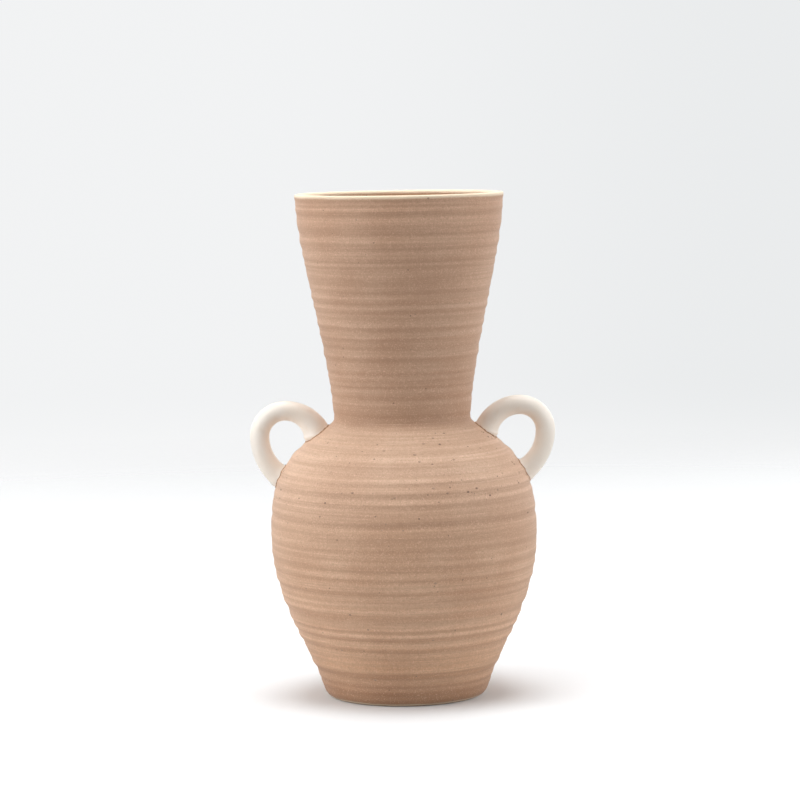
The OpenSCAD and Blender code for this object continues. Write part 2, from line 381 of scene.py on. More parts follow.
# %% The lathe's grid, and how it reads the outline
lathe, given = new_tree("lathe", {
    "Steps in a turn": ("Int", 128),
    "Row gap": ("Float", row_gap),
    "Relief": ("Float", 1.0),
    "Ring wander": ("Float", 0.4 * MM),
    "Ring fading": ("Float", 0.3),
    "Fine ring depth": ("Float", 0.06 * MM),
    "Fine rings in a metre": ("Float", 550.0),
    "Out of round": ("Float", 0.15 * MM),
    "Seed": ("Float", 1.0),
    "Finish": ("Material", None),
})
point_count = put(lathe, "GeometryNodeAttributeDomainSize", {0: given["Geometry"]}).outputs["Point Count"]
last_row = calc(lathe, "SUBTRACT", point_count, 1.0)
columns = calc(lathe, "ADD", given["Steps in a turn"], 1.0)
grid = put(lathe, "GeometryNodeMeshGrid", {
    "Size X": last_row,
    "Size Y": given["Steps in a turn"],
    "Vertices X": point_count,
    "Vertices Y": columns,
})
mesh_place = put(lathe, "GeometryNodeInputPosition").outputs[0]
grid_place = axes(lathe, mesh_place)
row = calc(lathe, "ROUND", calc(lathe, "ADD", grid_place["X"], calc(lathe, "MULTIPLY", last_row, 0.5)))
turn_share = calc(lathe, "ADD", calc(lathe, "DIVIDE", grid_place["Y"], given["Steps in a turn"]), 0.5)
turn = calc(lathe, "MULTIPLY", turn_share, 2 * math.pi)


def look_up(kind, value, index):
    """The value that the outline's mesh has in one of its rows."""
    node = put(lathe, "GeometryNodeSampleIndex", {0: given["Geometry"]}, data_type=kind, clamp=True)
    lathe.links.new(value, node.inputs["Value"])
    lathe.links.new(index, node.inputs["Index"])
    return node.outputs["Value"]


def turned(vector):
    """A vector of the outline, turned about the axis of the pot."""
    return put(lathe, "ShaderNodeVectorRotate", {"Vector": vector, "Angle": turn},
               rotation_type="Z_AXIS").outputs[0]


row_place = look_up("FLOAT_VECTOR", mesh_place, row)
out_turned = turned(look_up("FLOAT_VECTOR", stored(lathe, "FLOAT_VECTOR", "out"), row))
print("the lathe reads its outline with", len(lathe.nodes), "nodes")

# %% [markdown]
# Real rings are never perfect. They wander up and down a little, fade and come back, and the
# whole pot is slightly out of round, so three soft noises change them on the way round. The noise
# is read at a point on a circle, and so it meets itself without a step after one turn. Where a
# ring wanders, its relief is read between two rows. The difference between the two gives the
# slope, which the clay's finish needs later. A fourth noise, stretched round the pot, adds the
# finest rings, which come from the grain of the skin on the fingers.

# %% The relief of the rings
noise_rise = 18.0
noise_gain = 4.0
wander_scale = 1.1
wander_seed = 0.0
fading_scale = 1.6
fading_seed = 10.0
fine_round = 0.6

ring_height = axes(lathe, row_place)["Z"]
around = vector_of(
    lathe, X=calc(lathe, "COSINE", turn), Y=calc(lathe, "SINE", turn),
    Z=calc(lathe, "MULTIPLY", ring_height, noise_rise))


def centred(noise):
    """A noise between about -1 and 1."""
    return calc(lathe, "MULTIPLY_ADD", noise.outputs[0], noise_gain, -noise_gain / 2)


def soft_noise(scale, seed_step):
    """A soft noise that closes on itself after one turn."""
    seed = calc(lathe, "ADD", given["Seed"], seed_step)
    return centred(put(lathe, "ShaderNodeTexNoise", {
        "Vector": around, "W": seed, "Scale": scale, "Detail": 1.0}, noise_dimensions="4D"))


rows_moved = calc(lathe, "DIVIDE", given["Ring wander"], given["Row gap"])
row_read = calc(lathe, "MULTIPLY_ADD", soft_noise(wander_scale, wander_seed), rows_moved, row)
row_below = calc(lathe, "FLOOR", row_read)
row_above = calc(lathe, "ADD", row_below, 1.0)
relief_below = look_up("FLOAT", stored(lathe, "FLOAT", "relief"), row_below)
relief_above = look_up("FLOAT", stored(lathe, "FLOAT", "relief"), row_above)
share_above = calc(lathe, "SUBTRACT", row_read, row_below)
relief_step = calc(lathe, "SUBTRACT", relief_above, relief_below)
relief_here = calc(lathe, "MULTIPLY_ADD", share_above, relief_step, relief_below)
fading_noise = soft_noise(fading_scale, fading_seed)
fading = calc(lathe, "MULTIPLY_ADD", fading_noise, given["Ring fading"], 1.0)
strength = calc(lathe, "MULTIPLY", given["Relief"], fading)
broad = calc(lathe, "MULTIPLY", relief_here, strength)
slope = calc(lathe, "DIVIDE", calc(lathe, "MULTIPLY", relief_step, strength), given["Row gap"])

fine_rise = calc(lathe, "DIVIDE", given["Fine rings in a metre"], noise_rise)
fine_stretch = vector_of(lathe, X=fine_round, Y=fine_round, Z=fine_rise)
fine_place = vector_calc(lathe, "MULTIPLY", {0: around, 1: fine_stretch})
fine_noise = put(lathe, "ShaderNodeTexNoise", {"Vector": fine_place, "Scale": 1.0, "Detail": 2.0})
worked_here = look_up("FLOAT", stored(lathe, "FLOAT", "worked"), row)
fine_depth = calc(lathe, "MULTIPLY", given["Fine ring depth"], worked_here)
fine = calc(lathe, "MULTIPLY", centred(fine_noise), fine_depth)
relief = calc(lathe, "ADD", broad, fine)
print("with the rings it has", len(lathe.nodes), "nodes")

# %% [markdown]
# The last steps move the grid's points to their places. The sideways swell grows from nothing at
# the axis, so the middle of the floor stays one point. The relief and its slope are stored on the
# points for the clay's finish. Merging closes the wall after one turn.

# %% The lathe's last steps
swell_scale = 0.7
swell_seed = 20.0
swell_full_r = 0.05
merge_gap = 1e-6

swell = calc(lathe, "MULTIPLY", soft_noise(swell_scale, swell_seed), given["Out of round"])
from_axis = calc(lathe, "MULTIPLY", axes(lathe, row_place)["X"], 1 / swell_full_r)
swell = calc(lathe, "MULTIPLY", swell, calc(lathe, "MINIMUM", from_axis, 1.0))
sideways = turned(vector_of(lathe, X=swell))
pushed = vector_calc(lathe, "SCALE", {0: out_turned, "Scale": relief})
moved = vector_calc(lathe, "ADD", {0: pushed, 1: sideways})
thrown = grid.outputs[0]
for fact, value in (("ring_relief", relief), ("ring_slope", slope)):
    thrown = put(lathe, "GeometryNodeStoreNamedAttribute",
                 {"Geometry": thrown, "Name": fact, "Value": value},
                 data_type="FLOAT", domain="POINT").outputs[0]
shaped = put(lathe, "GeometryNodeSetPosition",
             {"Geometry": thrown, "Position": turned(row_place), "Offset": moved})
closed = put(lathe, "GeometryNodeMergeByDistance", {"Geometry": shaped.outputs[0], "Distance": merge_gap})
outward = put(lathe, "GeometryNodeFlipFaces", {0: closed.outputs[0]})
end_tree(lathe, outward.outputs[0], given["Finish"])


def throw(name, rows, values):
    """A piece that the lathe turns from its rows."""
    piece = chain_of_rows(name, rows)
    give_tree(piece, lathe, values)
    keep_as_mesh(piece)
    return piece


print("the whole lathe tree has", len(lathe.nodes), "nodes")

# %% [markdown]
# ## The finish of the clay
# The body is a peach-tan stoneware with a dry, matte skin. It is sandy close up, a little paler
# on the ridges and darker in the hollows, and peppered with small iron specks. The lip and the
# edge of the foot were wiped clean, and the paler clay shows there. All of this is mixed from
# noises on object coordinates, so it stays in place on the piece and needs no image. The helpers
# below are shared by every material.

# %% Helpers for materials
def new_finish(name):
    """An empty material with its shader and its object coordinates."""
    finish = bpy.data.materials.new(name)
    finish.use_nodes = True
    tree = finish.node_tree
    tree.nodes.clear()
    shader = put(tree, "ShaderNodeBsdfPrincipled")
    output = put(tree, "ShaderNodeOutputMaterial", {0: shader.outputs[0]})
    output.is_active_output = True
    return finish, tree, shader, put(tree, "ShaderNodeTexCoord").outputs["Object"]


def noise_of(tree, place, scale, detail=2.0, roughness=0.5):
    """A noise between 0 and 1 at a scale given per metre."""
    return put(tree, "ShaderNodeTexNoise", {
        "Vector": place, "Scale": scale, "Detail": detail, "Roughness": roughness}).outputs[0]


def ramp(tree, value, low, high, to_low=0.0, to_high=1.0, smooth=True):
    """A value taken from one range to another, and kept inside it."""
    return put(tree, "ShaderNodeMapRange", {
        "Value": value, "From Min": low, "From Max": high, "To Min": to_low, "To Max": to_high,
    }, interpolation_type="SMOOTHSTEP" if smooth else "LINEAR", clamp=True).outputs[0]


def blend_colours(tree, share, first, second, kind="MIX"):
    """One colour over another by a share."""
    node = put(tree, "ShaderNodeMix", data_type="RGBA", blend_type=kind)
    for socket, value in ((0, share), (6, first), (7, second)):
        if isinstance(value, bpy.types.NodeSocket):
            tree.links.new(value, node.inputs[socket])
        elif socket == 0:
            node.inputs[socket].default_value = value
        else:
            node.inputs[socket].default_value = (*value, 1.0)
    return node.outputs[2]


def grain_bump(tree, shader, steps):
    """Adds bumps to a shader, each given as (height, strength, distance)."""
    normal = None
    for height, strength, distance in steps:
        node = put(tree, "ShaderNodeBump", {"Height": height, "Strength": strength, "Distance": distance})
        if normal is not None:
            tree.links.new(normal, node.inputs["Normal"])
        normal = node.outputs[0]
    tree.links.new(normal, shader.inputs["Normal"])


print("helpers for materials are ready")

# %% [markdown]
# The clay clouds softly between two tans. Its tone also drifts with height, partly as the clay's
# own tone and partly as painted light and shade: painted shade darkens the foot and the neck just
# above the crease, painted light leaves the shoulder palest where it faces the light from above,
# and the neck is greyer. Each pair below is a height in millimetres and the colour that the tan is
# multiplied by there, and a colour ramp blends between them.

# %% Clouded tan, with tone and painted light by height
tan = (0.770, 0.508, 0.355)
pale_tan = (0.867, 0.604, 0.439)
deep_tan = (0.473, 0.282, 0.177)
clouds_in_a_metre = 28.0
height_tones_and_painted_light = [
    (3, (0.610, 0.490, 0.385)), (12, (0.790, 0.700, 0.605)), (20, (0.940, 0.858, 0.744)),
    (38, (0.970, 0.928, 0.862)), (92, (0.857, 0.827, 0.784)), (107, (0.893, 0.893, 0.885)),
    (122, (0.915, 0.950, 0.970)), (139, (0.938, 0.985, 1.000)), (143, (0.700, 0.660, 0.630)),
    (152, (0.760, 0.727, 0.700)), (225, (0.845, 0.818, 0.800)), (252, (0.905, 0.858, 0.830))]

stoneware, tree, shader, place = new_finish("speckled_stoneware")
height = axes(tree, place)["Z"]
cloud = noise_of(tree, place, clouds_in_a_metre, 3.0)
colour = blend_colours(tree, ramp(tree, cloud, 0.35, 0.65), tan, pale_tan)
# Painted light and shade: the ramp darkens the foot and the neck above the crease, and pales the shoulder.
tone_and_painted_light_ramp = put(tree, "ShaderNodeValToRGB", {0: calc(tree, "DIVIDE", height, vase_h)})
stops = tone_and_painted_light_ramp.color_ramp.elements
while len(stops) < len(height_tones_and_painted_light):
    stops.new(1.0)
for stop, (stop_z, stop_tint) in zip(stops, height_tones_and_painted_light):
    stop.position = stop_z * MM / vase_h
    stop.color = (*stop_tint, 1.0)
colour = blend_colours(tree, 1.0, colour, tone_and_painted_light_ramp.outputs[0], "MULTIPLY")
print("tints at", len(stops), "heights")

# %% [markdown]
# The hollows of the rings are darker. The undersides of the ridges are darkened with painted
# shade, more so on the lower belly than on the shoulder and the neck. Both come from what the
# lathe stored on its points: the relief, and its slope, which is above 0 where the wall leans out.

# %% Hollows, and painted shade under the ridges
hollow_depth = -0.4 * MM
hollow_share = 0.25
steep = 0.4
# The colour of the painted shade under the ridges.
painted_underside_shade = (0.765, 0.68, 0.615)
shade_below = 1.1
shade_on_shoulder = 0.32
more_on_neck = 0.2
shoulder_from = 78 * MM
shoulder_full = 94 * MM
neck_from = 141.5 * MM
neck_full = 143 * MM

ring_relief = put(tree, "ShaderNodeAttribute", attribute_name="ring_relief").outputs["Fac"]
in_hollow = ramp(tree, ring_relief, 0.0, hollow_depth, to_high=hollow_share)
colour = blend_colours(tree, in_hollow, colour, deep_tan)
ring_slope = put(tree, "ShaderNodeAttribute", attribute_name="ring_slope").outputs["Fac"]
belly_shade = ramp(tree, height, shoulder_from, shoulder_full, shade_below, shade_on_shoulder)
neck_shade = ramp(tree, height, neck_from, neck_full, to_high=more_on_neck)
shaded_slope = calc(tree, "MULTIPLY", ring_slope, calc(tree, "ADD", belly_shade, neck_shade))
underside = ramp(tree, shaded_slope, -steep, steep, smooth=False)
# Painted shade: darker where the wall leans out under a ridge.
colour = blend_colours(tree, underside, colour, painted_underside_shade, "MULTIPLY")
print("undersides are shaded", round(shade_below / shade_on_shoulder, 1), "times less on the shoulder")

# %% [markdown]
# The clay holds sand and crushed fired clay. Close up, sand shows as paler and darker grains, and
# the coarser grog as soft dark patches. The turning fingers also drag the wet skin into thin
# streaks that run round the pot. They are a noise squeezed in height.

# %% Sand, grog and streaks
sand_in_a_metre = 1500.0
sand_share = 0.5
grog_in_a_metre = 520.0
grog_share = 0.18
streaks_round = 10.0
streaks_up = 750.0
streak_share = 0.42

sand = noise_of(tree, place, sand_in_a_metre, 2.0, 0.6)
colour = blend_colours(tree, ramp(tree, sand, 0.52, 0.68, to_high=sand_share), colour, pale_tan)
colour = blend_colours(tree, ramp(tree, sand, 0.48, 0.32, to_high=sand_share), colour, deep_tan)
grog = noise_of(tree, place, grog_in_a_metre, 1.0)
colour = blend_colours(tree, ramp(tree, grog, 0.6, 0.35, to_high=grog_share), colour, deep_tan)
streak_place = put(tree, "ShaderNodeMapping", {
    "Vector": place, "Scale": (streaks_round, streaks_round, streaks_up)}).outputs[0]
streak = noise_of(tree, streak_place, 1.0, 3.0, 0.7)
colour = blend_colours(tree, ramp(tree, streak, 0.60, 0.38, to_high=streak_share), colour, deep_tan)
print("grains are about", round(1000 / sand_in_a_metre, 1), "and", round(1000 / grog_in_a_metre, 1), "mm")

# %% [markdown]
# A sponge wiped the lip down to paler clay, and a thin band round the foot has the same pale
# colour. Neither edge is quite straight, so a noise moves both lines up and down a little.

# %% Wiped lip and pale foot band
bare_clay = (0.86, 0.705, 0.52)
lip_line = 259.1 * MM
lip_wander = -1.0 * MM
lip_fade_from = -0.7 * MM
lip_fade_to = 0.5 * MM
foot_line = 0.5 * MM
foot_wander = 0.8 * MM
band_half = 0.5 * MM
band_edge = 0.2 * MM
wipes_in_a_metre = 90.0

wiped = noise_of(tree, place, wipes_in_a_metre, 2.0)
above_lip_line = calc(tree, "SUBTRACT", height, calc(tree, "MULTIPLY_ADD", wiped, lip_wander, lip_line))
lip_share = ramp(tree, above_lip_line, lip_fade_from, lip_fade_to)
above_foot = calc(tree, "SUBTRACT", height, calc(tree, "MULTIPLY_ADD", wiped, foot_wander, foot_line))
foot_share = calc(tree, "MULTIPLY", ramp(tree, above_foot, band_half, band_edge),
                  ramp(tree, above_foot, -band_half, -band_edge))
colour = blend_colours(tree, calc(tree, "MAXIMUM", lip_share, foot_share), colour, bare_clay)
print("the lip is wiped from about", round(lip_line / MM), "mm up")

# %% [markdown]
# Inside the neck the clay is browner, from under the glaze's edge up to just below the lip. The
# brown needs its distance from the pot's axis, so that it stays off the outside.

# %% The browner inside of the lip
inner_lip_brown = (0.60, 0.34, 0.16)
stain_r = 49.8 * MM
stain_r_end = 50.4 * MM
stain_low = 250 * MM
stain_low_full = 252 * MM
stain_high_full = 257.2 * MM
stain_high = 257.9 * MM

flat_place = vector_calc(tree, "MULTIPLY", {0: place, 1: (1.0, 1.0, 0.0)})
from_middle = vector_calc(tree, "LENGTH", {0: flat_place}, "Value")
inside_neck = ramp(tree, from_middle, stain_r_end, stain_r)
below_lip = ramp(tree, height, stain_high, stain_high_full)
above_glaze = ramp(tree, height, stain_low, stain_low_full)
inner_lip_brown_share = calc(tree, "MULTIPLY", calc(tree, "MULTIPLY", inside_neck, below_lip), above_glaze)
colour = blend_colours(tree, inner_lip_brown_share, colour, inner_lip_brown)
print("the stain reaches", round((stain_high - stain_low) / MM, 1), "mm up from the glaze")

# %% [markdown]
# The finest iron grains are part of the material: a few cells of a Voronoi pattern get a dark dot.
# The skin itself is rough, with a trace of sheen from the loose sand, and the sand and the
# streaks also raise it a little.

# %% Fine iron grains and the skin
iron = (0.10, 0.045, 0.025)
cells_in_a_metre = 240.0
grain_edge_r = 0.115
grain_dark_r = 0.07
empty_cells = 0.90
grain_strength = 0.55
rough_least = 0.62
rough_most = 0.78

cell = put(tree, "ShaderNodeTexVoronoi", {"Vector": place, "Scale": cells_in_a_metre})
grain = ramp(tree, cell.outputs["Distance"], grain_edge_r, grain_dark_r)
chosen = put(tree, "ShaderNodeSeparateColor", {0: cell.outputs["Color"]}).outputs[0]
grain = calc(tree, "MULTIPLY", grain, calc(tree, "GREATER_THAN", chosen, empty_cells))
colour = blend_colours(tree, calc(tree, "MULTIPLY", grain, grain_strength), colour, iron)
tree.links.new(colour, shader.inputs["Base Color"])
tree.links.new(ramp(tree, sand, 0.2, 0.8, rough_least, rough_most), shader.inputs["Roughness"])
shader.inputs["Specular IOR Level"].default_value = 0.5
shader.inputs["Sheen Weight"].default_value = 0.12
shader.inputs["Sheen Roughness"].default_value = 0.5
grain_bump(tree, shader, [(streak, 0.6, 0.15 * MM), (sand, 0.6, 0.15 * MM)])
print("speckled stoneware has", len(tree.nodes), "nodes")

# %% [markdown]
# ## The belly
# The belly's outline goes round the clay anticlockwise: under the hollow foot, round the foot
# ring, up the outside to the seat for the neck, and down the inside to the middle of the floor.
# The foot's edge was trimmed and sponged, so it rolls up from its flat in one soft curve. Other
# sharp corners get a small bend. Only the outside carries rings that show. The inside follows at
# the thickness of the wall. The belly could be sculpted, but rows of numbers keep it round.

# %% The belly's outline
belly_wall = 5 * MM
floor_z = 9 * MM
foot_hollow = 3 * MM
foot_in = 35.1 * MM
foot_curve_h = 9 * MM
foot_flat_r = 38.4 * MM
throat_r = 30.6 * MM
throat_bend = 2 * MM
under_seat = 6 * MM
floor_bend_r = 8 * MM
floor_corner_in = 2 * MM
small_bend = 0.5 * MM
bend_gap = 0.2 * MM
medium = 1 * MM
coarse = 2.5 * MM

under = [(0, foot_hollow), (foot_in - foot_hollow, foot_hollow)]
ring_in = (foot_in, 0)
ring_corner = (foot_r, 0)
foot_top = (radius_at(belly_line, foot_curve_h), foot_curve_h)
foot_under = (foot_r - 1.4 * MM, 0)
foot_side = (foot_r + 0.5 * MM, 2.5 * MM)
foot_curve = cubic((foot_flat_r, 0), foot_under, foot_side, foot_top, 40)
wall_out = belly_line[belly_line[:, 1] >= foot_curve_h]
seat_edge = (seat_r, shoulder_h)
seat_in = (throat_r, shoulder_h)
wall_in = beside(belly_line, belly_wall)
in_reach = (wall_in[:, 0] > throat_r + belly_wall / 2) & (wall_in[:, 1] > floor_z + floor_bend_r)
wall_in = wall_in[in_reach & (wall_in[:, 1] < shoulder_h - under_seat)][::-1]
neck_bend = rounded((throat_r, wall_in[0][1] + throat_bend), seat_in, wall_in[0], throat_bend)
floor_corner = (wall_in[-1][0] - floor_corner_in, floor_z)
floor_bend = rounded(floor_corner, wall_in[-1], (0, floor_z), floor_bend_r, 12)
print("the wall inside the belly starts", round(wall_in[0][1] / MM), "mm up")

# %% [markdown]
# The rows go to the lathe. Belly, neck and cove are thrown with one seed, so the pot's slight
# swells run on from each piece to the next.

# %% The belly's mesh
pot_seed = 3.0
some_way = 20

belly_rows = wall_rows([
    (under, None, coarse),
    (rounded(under[1], under[0], ring_in, small_bend), None, bend_gap),
    (rounded(ring_in, under[1], ring_corner, small_bend), None, bend_gap),
    (foot_curve, belly_rings, row_gap),
    (wall_out, belly_rings, row_gap),
    (rounded(seat_edge, wall_out[-some_way], seat_in, small_bend), None, bend_gap),
    (rounded(seat_in, seat_edge, neck_bend[0], small_bend), None, bend_gap),
    (neck_bend, None, medium),
    (wall_in, None, coarse),
    (floor_bend, None, medium),
    ([floor_bend[-1], (0, floor_z)], None, coarse),
])
belly = throw("belly_wall", belly_rows, {"Relief": 1.0, "Seed": pot_seed, "Finish": stoneware})

# %% [markdown]
# ## The neck
# The neck is thrown apart, so it is a piece of its own with the same lathe. One outline could run
# through belly and neck, but then the crease would be a bend and not a joint. The neck's wall ends
# in a rounded lip that is a little thicker than the wall.

# %% The neck's outline and mesh
neck_wall = 4.6 * MM
lip_h = 4 * MM
lip_bead = 0.5 * MM
lip_flat = 1.9 * MM
lip_out_bend = 1.1 * MM
lip_in_bend = 1.7 * MM
lip_clear = 1 * MM
lip_gap = 0.4 * MM
lip_out_gap = 0.25 * MM
lip_in_gap = 0.3 * MM
first_row = 2

neck_out = neck_line[neck_line[:, 1] <= vase_h - lip_h]
lip_out = (mouth_r + lip_bead, vase_h - 1.4 * MM)
lip_low = (mouth_r, vase_h - 3.2 * MM)
lip_high = (lip_out[0], vase_h - 2.8 * MM)
lip_face = cubic(neck_out[-1], lip_low, lip_high, lip_out, 20)
lip_corner = (lip_out[0], vase_h)
lip_top = (mouth_r - neck_wall + lip_flat, vase_h)
lip_in_corner = (mouth_r - neck_wall, vase_h)
lip_in = (mouth_r - neck_wall, vase_h - 2.4 * MM)
neck_in = beside(neck_line, neck_wall)
neck_in = neck_in[neck_in[:, 1] < vase_h - lip_h - lip_clear][::-1]
neck_in = neck_in[neck_in[:, 1] > neck_z + medium]
neck_low_in = (throat_r, neck_z)
neck_low_out = (waist_r, neck_z)
low_in_bend = rounded(neck_low_in, neck_in[-1], neck_low_out, small_bend)
neck_rows = wall_rows([
    (low_in_bend, None, bend_gap),
    (rounded(neck_low_out, neck_low_in, neck_out[some_way], small_bend), None, bend_gap),
    (neck_out[first_row:], neck_rings, row_gap),
    (lip_face, None, lip_gap),
    (rounded(lip_corner, lip_out, lip_top, lip_out_bend), None, lip_out_gap),
    (rounded(lip_in_corner, lip_top, lip_in, lip_in_bend), None, lip_in_gap),
    (neck_in, None, coarse),
    (low_in_bend[:1], None, coarse),
])
neck = throw("neck_wall", neck_rows, {"Relief": 1.0, "Seed": pot_seed, "Finish": stoneware})

# %% [markdown]
# ## The crease
# Slip fills the joint between the two parts. It was smoothed with a wet finger, which leaves a
# small cove between the shoulder and the neck. The cove is a thin ring of its own whose outline
# leaves both walls along their own directions. Its two ends dip under the skin of the walls and
# its middle stands a little proud of the curve, so no step shows. A bevel could round the crease
# too, but slip is a material of its own, and so it is a piece of its own.

# %% The cove of slip
cove_drop = 1.2 * MM
cove_rise = 1.7 * MM
cove_skin = 0.03 * MM
cove_pull = 0.75
cove_gap = 0.4 * MM
corner_out = 0.25 * MM
shoulder_bite = 1.2 * MM
neck_bite = 0.8 * MM

low_z = shoulder_h - cove_drop
high_z = neck_z + cove_rise
low_end = np.array((radius_at(belly_line, low_z), low_z))
high_end = np.array((radius_at(neck_line, high_z), high_z))
shoulder_run = low_end[0] - radius_at(belly_line, low_z + MM)
cove_corner = (waist_r + corner_out, low_z + (low_end[0] - waist_r) * MM / shoulder_run)
cove_line = cubic(low_end, low_end + cove_pull * (cove_corner - low_end),
                  high_end + cove_pull * (cove_corner - high_end), high_end, 30)
cove_swell = np.sin(np.linspace(0, math.pi, len(cove_line)))[:, None]
cove_line = cove_line + (2 * cove_skin * cove_swell - cove_skin) * out_of(cove_line)
low_back = (low_end[0] - shoulder_bite, low_z)
high_back = (waist_r - neck_bite, high_z)
cove_rows = wall_rows([
    ([(throat_r, shoulder_h), (waist_r, shoulder_h), low_back], None, medium),
    ([low_back, cove_line[0]], None, medium),
    (cove_line, None, cove_gap),
    ([cove_line[-1], high_back], None, medium),
    ([high_back, (high_back[0], neck_z), (throat_r, neck_z)], None, medium),
    ([(throat_r, neck_z), (throat_r, shoulder_h)], None, medium),
])
cove = throw("neck_slip_cove", cove_rows, {"Relief": 0.0, "Seed": pot_seed, "Finish": stoneware})

# %% [markdown]
# ## The glaze inside
# The inside is coated with a warm brown glaze that makes the clay watertight. It is a thin shell
# on the floor, the wall, the throat and the neck, and it ends a little below the lip. The lathe
# throws it too, from the same lines as the clay behind it, so it lies on the clay everywhere. The
# fingers left rings inside as well, at a wider and more even spacing. The glaze is clouded, from
# a warm brown where it ran thin to a deep brown where it gathered.

# %% The lining's finish
deep_brown = (0.27, 0.12, 0.045)
warm_brown = (0.47, 0.26, 0.12)
pools_in_a_metre = 35.0
dimples_in_a_metre = 220.0
smooth_least = 0.12
smooth_most = 0.3

liner, tree, shader, place = new_finish("liner_glaze")
pooling = noise_of(tree, place, pools_in_a_metre, 3.0)
ring_relief = put(tree, "ShaderNodeAttribute", attribute_name="ring_relief").outputs["Fac"]
deep_share = calc(tree, "MULTIPLY", ramp(tree, pooling, 0.3, 0.7),
                  ramp(tree, ring_relief, -0.1 * MM, 0.12 * MM))
tree.links.new(blend_colours(tree, deep_share, warm_brown, deep_brown), shader.inputs["Base Color"])
tree.links.new(ramp(tree, pooling, 0.2, 0.8, smooth_least, smooth_most), shader.inputs["Roughness"])
shader.inputs["Coat Weight"].default_value = 0.4
shader.inputs["Coat Roughness"].default_value = 0.08
dimples = noise_of(tree, place, dimples_in_a_metre)
grain_bump(tree, shader, [(dimples, 0.3, 0.2 * MM)])
print("liner glaze has", len(tree.nodes), "nodes")

# %% [markdown]
# The lining's outline takes the clay's inner line, leaves out the joint at the throat, and runs
# back beside it at the thickness of the glaze. Its rings start above the floor, because the pole
# in the middle of the floor has to stay flat to be closed.

# %% The lining's outline and mesh
glaze_t = 0.5 * MM
glaze_edge = vase_h - 4.5 * MM
inner_gap = 1 * MM
rim_gap = 0.15 * MM
joint_half = 2 * MM
above_joint = 4 * MM
below_joint = 3 * MM
smooth_until = 12
first_ridge = 15
finger_pitch = 7.5
finger_depth = 0.1
finger_rings = 33
hollow_least = 3
hollow_places = 3

inner_rings = [(smooth_until, 0)]
for k in range(finger_rings):
    ridge = first_ridge + finger_pitch * k
    hollow = ridge + hollow_least + k % hollow_places
    inner_rings.append((ridge, finger_depth))
    inner_rings.append((hollow, -finger_depth))

belly_face = np.vstack([neck_bend, wall_in, floor_bend, [(0, floor_z)]])
throat = np.array([(throat_r, neck_z + joint_half), (throat_r, shoulder_h - joint_half)])
neck_face = neck_in[(neck_in[:, 1] < glaze_edge) & (neck_in[:, 1] > neck_z + above_joint)]
face = np.vstack([neck_face, throat, belly_face[belly_face[:, 1] < shoulder_h - below_joint]])
clay_side = even_steps(face, inner_gap)
room_side = beside(clay_side, -glaze_t)
room_side[-1] = (0, floor_z + glaze_t)
rim_middle = (clay_side[0] + room_side[0]) / 2 + np.array((0, glaze_t / 2))
lining_rows = wall_rows([
    (clay_side[::-1], None, coarse),
    ([clay_side[0], rim_middle, room_side[0]], None, rim_gap),
    (room_side, inner_rings, inner_gap),
])
lining = throw("glaze_coat", lining_rows, {
    "Relief": 0.8, "Row gap": inner_gap, "Fine ring depth": 0.0, "Seed": 5.0, "Out of round": 0.0,
    "Finish": liner})

# %% [markdown]
# ## The handles
# Each handle is a coil of white clay, rolled on the table and bent into a loop. Its middle line is
# three arcs that run into each other: from the upper root to the top, round the loop, and down to
# the lower root. The frame has the same arcs. A curve with a round bevel would give an even coil,
# but a real coil is thickest where it rises from the upper root, thin where bending has drawn it
# out, and it spreads where it was pressed onto the shoulder. So the line carries a radius at every
# point, and a small tree of nodes sweeps a circle of that radius along it, with soft lumps from
# rolling.

# %% The coil tree
coiler, given = new_tree("coiler", {
    "Steps round": ("Int", 40),
    "Lump size": ("Float", 9 * MM),
    "Lump depth": ("Float", 0.12 * MM),
    "Seed": ("Float", 1.0),
    "Finish": ("Material", None),
})
coil_path = put(coiler, "GeometryNodeMeshToCurve", {0: given["Geometry"]})
circle = put(coiler, "GeometryNodeCurvePrimitiveCircle",
             {"Resolution": given["Steps round"], "Radius": 1.0})
sweep = put(coiler, "GeometryNodeCurveToMesh", {
    "Curve": coil_path.outputs[0], "Profile Curve": circle.outputs[0],
    "Scale": stored(coiler, "FLOAT", "coil_radius"), "Fill Caps": True})
skin_place = put(coiler, "GeometryNodeInputPosition").outputs[0]
lump_scale = calc(coiler, "DIVIDE", 1.0, given["Lump size"])
lump = put(coiler, "ShaderNodeTexNoise", {
    "Vector": skin_place, "W": given["Seed"], "Scale": lump_scale, "Detail": 1.0}, noise_dimensions="4D")
lump = calc(coiler, "MULTIPLY_ADD", lump.outputs[0], 2.0, -1.0)
push = calc(coiler, "MULTIPLY", lump, given["Lump depth"])
skin_out = put(coiler, "GeometryNodeInputNormal").outputs[0]
rolled = put(coiler, "GeometryNodeSetPosition", {
    "Geometry": sweep.outputs[0],
    "Offset": vector_calc(coiler, "SCALE", {0: skin_out, "Scale": push})})
end_tree(coiler, rolled.outputs[0], given["Finish"])


def sweep_coil(name, points, edges, radii, values):
    """A coil swept along a line of points, as a piece of its own."""
    mesh = bpy.data.meshes.new(name)
    mesh.from_pydata(points, edges, [])
    write_on(mesh, "coil_radius", radii)
    piece = add_object(name, mesh)
    give_tree(piece, coiler, values)
    keep_as_mesh(piece)
    return piece


print("the coil tree has", len(coiler.nodes), "nodes")

# %% [markdown]
# The middle arc is a quarter of a circle at the outer top of the loop. The other two start from
# its ends in the same direction, so their radii follow from where the roots are: a circle that
# leaves a point in a known direction and passes through a second point has only one radius.

# %% The middle line of a handle
loop_r = 13.2 * MM
loop_reach = 5.2 * MM
loop_rise = 8 * MM
upper_drop = 4.8 * MM
lower_drop = 25.8 * MM
left_drop = 1.4 * MM
run_on = 11 * MM
arc_steps = 60
line_gap = 0.8 * MM


